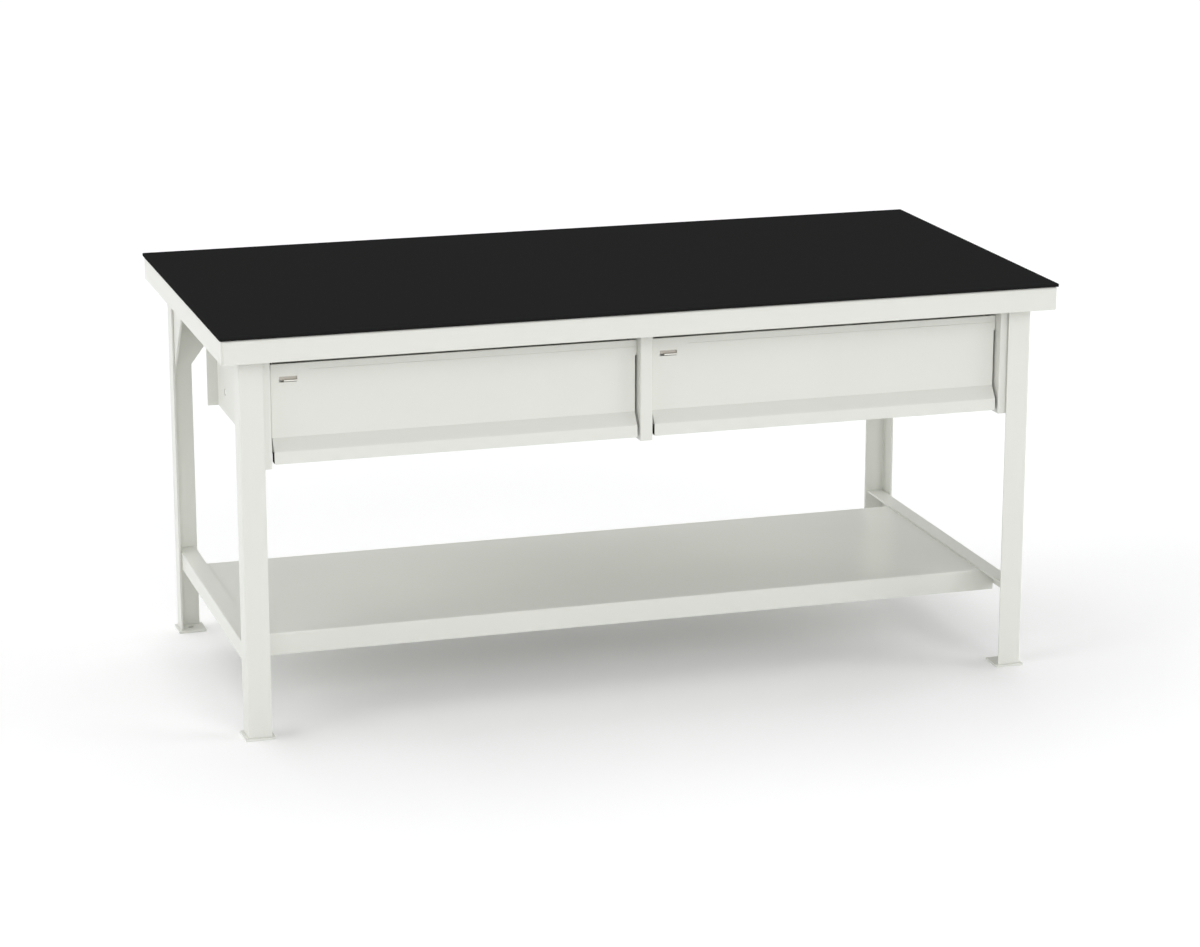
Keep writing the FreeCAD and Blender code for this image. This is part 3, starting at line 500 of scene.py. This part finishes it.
low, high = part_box("drawer_hanger_left")
hanger = add_block(low, high)
pick(hanger, "FACE", lambda corners: at(x=low.x)(corners) or at(z=low.z)(corners))
bpy.ops.mesh.delete(type="FACE")
put_down()
round_edges(hanger, lambda ends: at(x=high.x)(ends) and not at(z=low.z)(ends), HANGER_BEND, 4)
apply_modifier(hanger, "SOLIDIFY", thickness=HANGER_SHEET, offset=-1, use_even_offset=True)
hole = Vector((high.x, low.y + HANGER_HOLE_REACH, high.z - HANGER_HOLE_DROP))
punch(hanger, add_pin(hole, HANGER_HOLE / 2, 4 * HANGER_BEND, "x"))
right_hanger = copy_of(hanger, LEFT_TO_RIGHT)
punch_keeper(hanger, high.x)
fit_on_frame(hanger, "hanger_left", "drawer_hanger_left")
fit_on_frame(right_hanger, "hanger_right", "drawer_hanger_right")

low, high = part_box("drawer_divider")
half = HANGER_SHEET / 2
wall, front, seat = DIVIDER_WIDTH / 2 - half, low.y + half, high.z - half
divider = fold_sheet("z", low.z, seat, [(-wall, high.y), (-wall, front), (wall, front), (wall, high.y)],
                     HANGER_BEND - half)
for across in (-1, 1):
    pick(divider, "EDGE", lambda ends: at(x=across * wall, z=seat)(ends) and along("y")(ends))
    bpy.ops.mesh.extrude_region_move(TRANSFORM_OT_translate={
        "value": (across * (DIVIDER_FLANGE + half), 0, 0)})
    put_down()
thicken(divider, HANGER_SHEET)
punch_keeper(divider, DIVIDER_WIDTH / 2)
fit_on_frame(divider, "divider_channel", "drawer_divider")

# Studs and nuts: weld studs under the top and plain hexagon nuts, which hold the hangers' flanges and
# the divider's. They are zinc-plated.
STUD_WIDTH = 6.0 * MM
STUD_TIP = 0.8 * MM
NUT_FLATS = 10.0 * MM
NUT_CHAMFER = 0.7 * MM
STUD_SHARES = (0.08, 0.5, 0.92)

# Bright zinc plate: electroplated and clear-passivated, a cool light grey metal with a soft gloss; the
# cloudy tone of the passivation is drawn 6 mm wide and faint.
bright_zinc, tree, output = new_material("bright_zinc_plate")
place = add_node(tree, "ShaderNodeTexCoord").outputs["Object"]
clouds = add_node(tree, "ShaderNodeTexNoise", {"Vector": place, "Scale": 1 / (6 * MM), "Detail": 2.0})
shade = add_node(tree, "ShaderNodeMix", {"Factor": clouds.outputs["Fac"], "A": linear("#B9BDC0"),
                                         "B": linear("#C9CCCE")}, data_type="RGBA")
dull = add_node(tree, "ShaderNodeMapRange", {"Value": clouds.outputs["Fac"], "To Min": 0.28,
                                             "To Max": 0.42})
plating = add_node(tree, "ShaderNodeBsdfPrincipled", {"Base Color": shade.outputs["Result"],
                                                      "Metallic": 1.0,
                                                      "Roughness": dull.outputs["Result"]})
tree.links.new(plating.outputs[0], output.inputs["Surface"])


def joined(pieces):
    """Join pieces into the first one."""
    deselect()
    for piece in pieces:
        piece.select_set(True)
    bpy.context.view_layer.objects.active = pieces[0]
    bpy.ops.object.join()
    return pieces[0]


low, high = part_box("hanger_studs")
nut_low, nut_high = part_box("hanger_nuts")
hanger_low, hanger_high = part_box("drawer_hanger_left")
first_stud = Vector((low.x + STUD_WIDTH / 2, low.y + STUD_WIDTH / 2, (low.z + high.z) / 2))
stud = add_pin(first_stud, STUD_WIDTH / 2, high.z - low.z, "z", sides=20)
round_edges(stud, at(z=low.z), STUD_TIP, 2)
nut_middle = Vector((first_stud.x, first_stud.y, (nut_low.z + nut_high.z) / 2))
nut = add_pin(nut_middle, NUT_FLATS / math.sqrt(3), nut_high.z - nut_low.z, "z", sides=6)
round_edges(nut, at(z=nut_low.z), NUT_CHAMFER, 1)
punch(nut, add_pin(nut_middle, STUD_WIDTH / 2 + TINY, 4 * (nut_high.z - nut_low.z), "z", sides=20))
flange_middle = (DIVIDER_WIDTH + DIVIDER_FLANGE) / 2
rows = [first_stud.x, -flange_middle, flange_middle, -first_stud.x]
moves = [(row - first_stud.x, (share - STUD_SHARES[0]) * (hanger_high.y - hanger_low.y), 0)
         for row in rows for share in STUD_SHARES]
studs = joined([stud] + [copy_of(stud, move=move) for move in moves[1:]])
nuts = joined([nut] + [copy_of(nut, move=move) for move in moves[1:]])
fit(studs, "weld_studs", "table_frame", bright_zinc, ["hanger_studs"], 0)
fit(nuts, "hexagon_nuts", "table_frame", bright_zinc, ["hanger_nuts"], 0)

# Ball slides: rolled steel channels, zinc-plated, a wide one on each wall of the hangers and the divider
# and a narrow one on each side of the pans, with a cage of hardened steel balls between them. Rivets with
# low round heads hold both.
SLIDE_SHEET = 1.2 * MM
SLIDE_BEND = 1.6 * MM
SLIDE_SLOT_WIDTH = 5.0 * MM
SLIDE_SLOT_LENGTH = 12.0 * MM
SLIDE_SLOT_SHARES = (0.2, 0.38, 0.62, 0.8)
RIVET_SHARES = (0.08, 0.5, 0.92)
RIVET_SHANK = 4.0 * MM
RIVET_HEAD = 8.0 * MM
RIVET_RISE = 1.0 * MM
RIVET_ROUND_SHARE = 0.8
PAN_SHEET = 1.5 * MM
BAY_STEP = (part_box("right_drawer_pan")[0].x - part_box("left_drawer_pan")[0].x, 0, 0)
BAY_MIDDLE = (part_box("left_drawer_pan")[0].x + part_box("left_drawer_pan")[1].x) / 2
ACROSS_BAY = (2 * BAY_MIDDLE, 0, 0)

# Ball steel: hardened, ground and polished, a bright mirror. Its fine unevenness is drawn 1 mm wide.
ball_steel, tree, output = new_material("polished_ball_steel")
place = add_node(tree, "ShaderNodeTexCoord").outputs["Object"]
marks = add_node(tree, "ShaderNodeTexNoise", {"Vector": place, "Scale": 1 / (1 * MM), "Detail": 1.0})
shade = add_node(tree, "ShaderNodeMix", {"Factor": marks.outputs["Fac"], "A": linear("#C4C5C6"),
                                         "B": linear("#D2D3D4")}, data_type="RGBA")
dull = add_node(tree, "ShaderNodeMapRange", {"Value": marks.outputs["Fac"], "To Min": 0.08, "To Max": 0.16})
polish = add_node(tree, "ShaderNodeBsdfPrincipled", {"Base Color": shade.outputs["Result"], "Metallic": 1.0,
                                                     "Roughness": dull.outputs["Result"]})
tree.links.new(polish.outputs[0], output.inputs["Surface"])


def fold_channel(web, toe, low, high):
    """Fold a slide member: its web stands at one place across the table and its flanges reach to a toe."""
    half = SLIDE_SHEET / 2
    middle = web + math.copysign(half, toe - web)
    channel = fold_sheet("y", low.y, high.y, [(toe, low.z + half), (middle, low.z + half),
                                              (middle, high.z - half), (toe, high.z - half)], SLIDE_BEND)
    thicken(channel, SLIDE_SHEET)
    for share in SLIDE_SLOT_SHARES:
        centre = Vector((web, low.y + share * (high.y - low.y), (low.z + high.z) / 2))
        reach = Vector((4 * SLIDE_SHEET, SLIDE_SLOT_LENGTH / 2, SLIDE_SLOT_WIDTH / 2))
        tool = add_block(centre - reach, centre + reach)
        round_edges(tool, along("x"), SLIDE_SLOT_WIDTH / 2 - TINY, 5)
        punch(channel, tool)
    return channel


def set_rivet(start, end, y, z):
    """A rivet across the table, with a low round head at each end of its grip."""
    shank = add_pin(((start + end) / 2, y, z), RIVET_SHANK / 2, abs(end - start), "x", sides=16)
    heads = []
    away = math.copysign(1, end - start)
    for face, outward in ((start, -away), (end, away)):
        centre = (face + outward * RIVET_RISE / 2, y, z)
        head = add_pin(centre, RIVET_HEAD / 2, RIVET_RISE, "x", sides=20)
        round_edges(head, at(x=face + outward * RIVET_RISE), RIVET_ROUND_SHARE * RIVET_RISE, 4)
        heads.append(head)
    return joined([shank] + heads)


low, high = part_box("left_drawer_left_slide_cabinet_member")
cabinet_member = fold_channel(low.x, high.x, low, high)
hanger_rivet = set_rivet(low.x + SLIDE_SHEET, low.x - HANGER_SHEET,
                         low.y + RIVET_SHARES[0] * (high.y - low.y), (low.z + high.z) / 2)
low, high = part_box("left_drawer_left_slide_drawer_member")
drawer_member = fold_channel(high.x, low.x, low, high)
pan_rivet = set_rivet(high.x - SLIDE_SHEET, high.x + PAN_SHEET,
                      low.y + RIVET_SHARES[0] * (high.y - low.y), (low.z + high.z) / 2)
steps = [(0, (share - RIVET_SHARES[0]) * (high.y - low.y), 0) for share in RIVET_SHARES]
hanger_rivets = [hanger_rivet] + [copy_of(hanger_rivet, move=step) for step in steps[1:]]
pan_rivets = [pan_rivet] + [copy_of(pan_rivet, move=step) for step in steps[1:]]
hanger_rivets += [copy_of(rivet, LEFT_TO_RIGHT, ACROSS_BAY) for rivet in hanger_rivets]
pan_rivets += [copy_of(rivet, LEFT_TO_RIGHT, ACROSS_BAY) for rivet in pan_rivets]
hanger_rivets += [copy_of(rivet, move=BAY_STEP) for rivet in hanger_rivets]
left_rivets = joined(pan_rivets)
right_rivets = copy_of(left_rivets, move=BAY_STEP)
pair = (cabinet_member, drawer_member)
members = {("left", "left"): pair}
members["left", "right"] = [copy_of(member, LEFT_TO_RIGHT, ACROSS_BAY) for member in pair]
for side in ("left", "right"):
    members["right", side] = [copy_of(member, move=BAY_STEP) for member in members["left", side]]
for (drawer, side), (fixed, moving) in members.items():
    slide = f"{drawer}_drawer_{side}_slide"
    fit(fixed, f"{slide}_outer_channel", "table_frame", bright_zinc,
        [f"{slide}_cabinet_member"], 0)
    fit(moving, f"{slide}_inner_channel", f"{drawer}_drawer", bright_zinc,
        [f"{slide}_drawer_member"], 0)
    for name, finish in (("_ball_cage", bright_zinc), ("_balls", ball_steel)):
        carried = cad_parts[slide + name]
        carried.data.materials.clear()
        carried.data.materials.append(finish)
fit(joined(hanger_rivets), "round_rivets_on_hangers", "table_frame", bright_zinc,
    ["hanger_rivets"], 0)
for drawer, rivets in (("left", left_rivets), ("right", right_rivets)):
    fit(rivets, f"{drawer}_round_rivets", f"{drawer}_drawer", bright_zinc,
        [f"{drawer}_drawer_rivets"], 0)

# Drawer pans: trays folded from 16 gauge sheet, spot-welded at the corners, with the rim hemmed
# inwards. They are painted like the frame.
PAN_CORNER = 3.0 * MM
PAN_HEM = 10.0 * MM
low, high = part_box("left_drawer_pan")
pan = add_block(low, high)
pick(pan, "FACE", at(z=high.z))
bpy.ops.mesh.delete(type="FACE")
put_down()
round_edges(pan, lambda ends: along("z")(ends) or at(z=low.z)(ends), PAN_CORNER, 4)
apply_modifier(pan, "SOLIDIFY", thickness=PAN_SHEET, offset=-1, use_even_offset=True)
pick(pan, "FACE", lambda corners: True)
bpy.ops.mesh.bisect(plane_co=(0, 0, high.z - PAN_HEM), plane_no=(0, 0, 1))
put_down()
inner_low, inner_high = low + Vector((PAN_SHEET - TINY,) * 3), high - Vector((PAN_SHEET - TINY,) * 3)
pick(pan, "FACE", lambda corners: all(corner.z > high.z - PAN_HEM - TINY
                                      and inner_low.x < corner.x < inner_high.x
                                      and inner_low.y < corner.y < inner_high.y for corner in corners))
bpy.ops.mesh.extrude_region_shrink_fatten(TRANSFORM_OT_shrink_fatten={"value": PAN_SHEET})
put_down()
for drawer, piece in (("left", pan), ("right", copy_of(pan, move=BAY_STEP))):
    fit(piece, f"{drawer}_pan_tray", f"{drawer}_drawer", powder_coat, [f"{drawer}_drawer_pan"])

# Drawer fronts: one 14 gauge sheet each. The flat panel slopes out at its foot into a full-width pull,
# stiffened at both ends by a short welded box and open for the fingers between them. Its sides turn back
# to the pan, an ear stands over the latch slot, and a liner strip fills the gap above the panel.
FRONT_SHEET = 1.9 * MM
FRONT_WIDTH = 780.0 * MM
FRONT_BEND = 2.5 * MM
FRONT_FLANGE = 25.0 * MM
PANEL_SETBACK = 20.4 * MM
PANEL_HEIGHT = 139.9 * MM
SLOPE_RISE = 25.9 * MM
LIP_HEIGHT = 25.7 * MM
LIP_CORNER = 2.5 * MM
PULL_INSET = 1.0 * MM
PULL_SINK = 0.3 * MM
STIFFENER_LENGTH = 24.0 * MM
EAR_WIDTH = 80.5 * MM
LINER_HEIGHT = 32.4 * MM
LINER_LAP = 8.0 * MM
LINER_STEP = 0.5 * MM
SLOT_INSET = 18.0 * MM
SLOT_WIDTH = 38.1 * MM
SLOT_HEIGHT = 11.9 * MM
SLOT_DROP = 12.4 * MM
SLOT_CORNER = 1.5 * MM

# Bare steel and painted shade: the welded boxes' inner faces take a dull, dark grey, as pickled sheet where
# the powder does not reach, and this dark tone stands in for the shade in those hollows. The mottling that
# the acid leaves is drawn 4 mm wide.
bare_steel, tree, output = new_material("pickled_bare_steel")
place = add_node(tree, "ShaderNodeTexCoord").outputs["Object"]
mottle = add_node(tree, "ShaderNodeTexNoise", {"Vector": place, "Scale": 1 / (4 * MM), "Detail": 2.0})
shade = add_node(tree, "ShaderNodeMix", {"Factor": mottle.outputs["Fac"], "A": linear("#5E5D5B"),
                                         "B": linear("#6E6D6B")}, data_type="RGBA")
dull = add_node(tree, "ShaderNodeMapRange", {"Value": mottle.outputs["Fac"], "To Min": 0.55, "To Max": 0.7})
metal = add_node(tree, "ShaderNodeBsdfPrincipled", {"Base Color": shade.outputs["Result"], "Metallic": 1.0,
                                                    "Roughness": dull.outputs["Result"]})
tree.links.new(metal.outputs[0], output.inputs["Surface"])
low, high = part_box("left_drawer_front")
half = FRONT_SHEET / 2
left, right = low.x, low.x + FRONT_WIDTH
lip_top = low.z + LIP_HEIGHT
slope_top = lip_top + SLOPE_RISE
panel_top = slope_top + PANEL_HEIGHT
panel, lip = low.y + PANEL_SETBACK + half, low.y + half
drop = half * (math.hypot(PANEL_SETBACK, SLOPE_RISE) - SLOPE_RISE) / PANEL_SETBACK
front = fold_sheet("x", left + half, right - half,
                   [(panel, high.z), (panel, panel_top), (panel, slope_top - drop), (lip, lip_top - drop),
                    (lip, low.z)], FRONT_BEND)
for edge, inwards in ((left + half, 1), (right - half, -1)):
    pick(front, "EDGE", lambda ends: at(x=edge, y=panel)(ends)
         and all(corner.z < panel_top + TINY for corner in ends))
    for step in ((0, high.y - half - panel, 0), (inwards * (FRONT_FLANGE - half), 0, 0)):
        bpy.ops.mesh.extrude_region_move(TRANSFORM_OT_translate={"value": step})
    put_down()
pick(front, "VERT", at(z=low.z))
bpy.ops.mesh.bevel(offset=LIP_CORNER, segments=4, affect="VERTICES", offset_type="OFFSET")
put_down()
face_outwards(front)
thicken(front, FRONT_SHEET)
through = 2 * FRONT_SHEET
punch(front, add_block((left + EAR_WIDTH, panel - through, panel_top),
                       (right + OVERCUT, panel + through, high.z + OVERCUT)))
slot_low = Vector((left + SLOT_INSET, panel - through, panel_top - SLOT_DROP - SLOT_HEIGHT))
slot_high = slot_low + Vector((SLOT_WIDTH, 2 * through, SLOT_HEIGHT))
tool = add_block(slot_low, slot_high)
round_edges(tool, along("y"), SLOT_CORNER, 4)
punch(front, tool)
punch(front, add_block((left - OVERCUT, panel + half, latch_high.z - LATCH_HEIGHT - KEEPER_PLAY / 2),
                       (left + FRONT_SHEET + OVERCUT, latch_high.y + KEEPER_PLAY / 2,
                        latch_high.z + KEEPER_PLAY / 2)))
liner = add_block((left + EAR_WIDTH - LINER_LAP, panel - half + LINER_STEP, high.z - LINER_HEIGHT),
                  (high.x, panel + half + FRONT_SHEET, high.z))
round_edges(liner, along("y"), SLOT_CORNER, 3)
pull_front, pull_foot, pull_head = lip + half - PULL_SINK, low.z + half + PULL_SINK, lip_top - half
mouth, end = left + PULL_INSET, left + PULL_INSET + STIFFENER_LENGTH
stiffener = fold_sheet("x", mouth, end, [(pull_front, pull_foot), (panel, pull_foot), (panel, pull_head),
                                         (pull_front, pull_head)], FRONT_BEND)
pick(stiffener, "EDGE", at(x=end))
bpy.ops.mesh.edge_face_add()
put_down()
face_outwards(stiffener)
for piece in (front, liner, stiffener):
    piece.data.materials.append(powder_coat)
# The boxes' inner faces take the dark grey that is painted shade for the hollow inside them.
stiffener.data.materials.append(bare_steel)
apply_modifier(stiffener, "SOLIDIFY", thickness=FRONT_SHEET, offset=0, use_even_offset=True,
               material_offset=1)
front = joined([front, liner, stiffener, copy_of(stiffener, LEFT_TO_RIGHT, (left + right, 0, 0))])
for drawer, piece in (("left", front), ("right", copy_of(front, move=BAY_STEP))):
    fit(piece, f"{drawer}_formed_front", f"{drawer}_drawer", powder_coat,
        [f"{drawer}_drawer_front"])

# Latches: a flat zinc-plated bolt behind each front, whose lower edge is turned out through the slot as a
# thumb piece. A folded strap spot-welded behind the panel guides it.
BAR_SHEET = 2.0 * MM
THUMB_WIDTH = 27.5 * MM
THUMB_LIP = 3.2 * MM
THUMB_PLAY = 0.3 * MM
BOLT_NOSE = 3.0 * MM
THUMB_BEND = 1.0 * MM
THUMB_RUB = 1.0 * MM
STRAP_SHEET = 1.5 * MM
STRAP_FOOT = 6.0 * MM
STRAP_WIDTH = 36.0 * MM
low, high = latch_low, latch_high
front_face = high.y - BAR_SHEET

# Passivated zinc: plated and dipped to a warm grey, duller than the slides. Its draw marks run along the
# bolt and are drawn 1 mm wide, so they show. The turned-out edge turns near white towards its front, a
# painted highlight.
dull_zinc, tree, output = new_material("passivated_zinc_plate")
place = add_node(tree, "ShaderNodeTexCoord").outputs["Object"]
stretched = add_node(tree, "ShaderNodeMapping", {"Vector": place, "Scale": (0.1, 1.0, 1.0)})
marks = add_node(tree, "ShaderNodeTexNoise", {"Vector": stretched.outputs["Vector"], "Scale": 1 / (1 * MM),
                                              "Detail": 2.0})
shade = add_node(tree, "ShaderNodeMix", {"Factor": marks.outputs["Fac"], "A": linear("#A9A39A"),
                                         "B": linear("#BAB5AC")}, data_type="RGBA")
depth = add_node(tree, "ShaderNodeSeparateXYZ", {"Vector": place})
# Painted highlight: the colour turns near white towards the front of the turned-out thumb edge.
rubbed = add_node(tree, "ShaderNodeMapRange", {"Value": depth.outputs["Y"],
                                               "From Min": front_face - THUMB_RUB,
                                               "From Max": low.y + THUMB_RUB})
shade = add_node(tree, "ShaderNodeMix", {"Factor": rubbed.outputs["Result"], "A": shade.outputs["Result"],
                                         "B": linear("#EDECE6")}, data_type="RGBA")
dull = add_node(tree, "ShaderNodeMapRange", {"Value": marks.outputs["Fac"], "To Min": 0.35, "To Max": 0.5})
plating = add_node(tree, "ShaderNodeBsdfPrincipled", {"Base Color": shade.outputs["Result"],
                                                      "Metallic": 1.0,
                                                      "Roughness": dull.outputs["Result"]})
tree.links.new(plating.outputs[0], output.inputs["Surface"])
bolt = add_block((low.x, front_face, high.z - LATCH_HEIGHT), high)
round_edges(bolt, lambda ends: at(x=low.x)(ends) and along("y")(ends), BOLT_NOSE, 4)
thumb_right = slot_high.x - THUMB_PLAY
thumb = add_block((thumb_right - THUMB_WIDTH, low.y, low.z),
                  (thumb_right, high.y - BAR_SHEET / 2, low.z + THUMB_LIP))
round_edges(thumb, lambda ends: at(y=low.y)(ends) and along("x")(ends), THUMB_BEND, 3)
apply_modifier(bolt, "BOOLEAN", operation="UNION", solver="EXACT", object=thumb)
bpy.data.objects.remove(thumb)
strap_low, strap_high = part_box("left_latch_strap")
half = STRAP_SHEET / 2
seat, bridge = strap_low.y + half, strap_high.y - half
lower, upper = strap_low.z + STRAP_FOOT - half, strap_high.z - STRAP_FOOT + half
strap = fold_sheet("x", strap_high.x - STRAP_WIDTH, strap_high.x,
                   [(seat, strap_low.z), (seat, lower), (bridge, lower), (bridge, upper), (seat, upper),
                    (seat, strap_high.z)], STRAP_SHEET)
thicken(strap, STRAP_SHEET)
for drawer, bolts, straps in (("left", bolt, strap), ("right", copy_of(bolt, move=BAY_STEP),
                                                      copy_of(strap, move=BAY_STEP))):
    fit(bolts, f"{drawer}_thumb_bolt", f"{drawer}_latch", dull_zinc, [f"{drawer}_latch_bolt"])
    fit(straps, f"{drawer}_guide_strap", f"{drawer}_drawer", dull_zinc, [f"{drawer}_latch_strap"])
